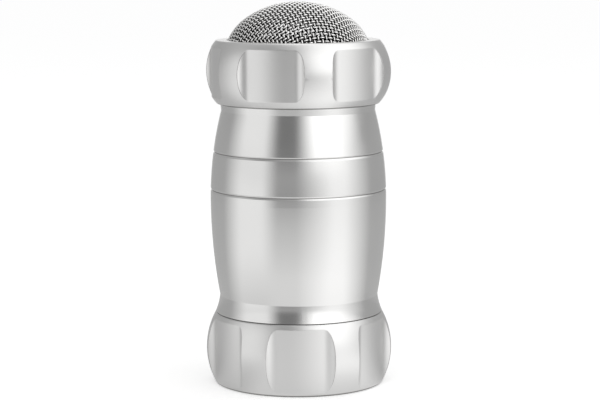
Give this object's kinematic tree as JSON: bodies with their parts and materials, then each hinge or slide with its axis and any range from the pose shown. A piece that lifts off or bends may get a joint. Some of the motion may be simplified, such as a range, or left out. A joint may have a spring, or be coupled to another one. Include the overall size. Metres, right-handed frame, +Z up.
{
  "type": "sugar shaker",
  "caption": "Hand-held sugar shaker: a bulged satin aluminium barrel with scalloped screw rings at top and base, and a domed woven wire sieve to sift through.",
  "frame": {"origin": "centre of the base ring's underside, on the barrel's axis", "axes": "+Z up the barrel's axis to the sieve dome, -Y towards the picture's camera, +X to the right in the picture"},
  "size_m": [0.07, 0.0698, 0.1434],
  "materials": {
    "satin_aluminium": "satin anodised",
    "wire_cloth": "bright drawn wire",
    "pressed_steel": "rolled sheet",
    "silicone": "matte"
  },
  "bodies": {
    "barrel": {"barrel": "satin_aluminium"},
    "sieve": {"sieve_dome": "wire_cloth", "sieve_rim": "pressed_steel"},
    "top_ring": {"top_ring": "satin_aluminium", "sieve_seal": "silicone"},
    "base_plate": {"base_plate": "satin_aluminium"},
    "base_ring": {"base_ring": "satin_aluminium", "base_seal": "silicone"}
  },
  "joints": [
    {"name": "sieve_lift", "type": "slide", "parent": "barrel", "child": "sieve", "axis": [0, 0, 1], "range_m": [0, 0.009]},
    {"name": "top_ring_turn", "type": "hinge", "parent": "sieve", "child": "top_ring", "pos_m": [0, 0, 0.1175], "axis": [0, 0, 1], "range_deg": [0, 1080]},
    {"name": "base_plate_drop", "type": "slide", "parent": "barrel", "child": "base_plate", "axis": [0, 0, -1], "range_m": [0, 0.009]},
    {"name": "base_ring_turn", "type": "hinge", "parent": "base_plate", "child": "base_ring", "pos_m": [0, 0, 0.0134], "axis": [0, 0, -1], "range_deg": [0, 1080]}
  ],
  "couplings": [
    {"joint": "sieve_lift", "follows": "top_ring_turn", "m_per_rad": 0.00047746},
    {"joint": "base_plate_drop", "follows": "base_ring_turn", "m_per_rad": 0.00047746}
  ]
}
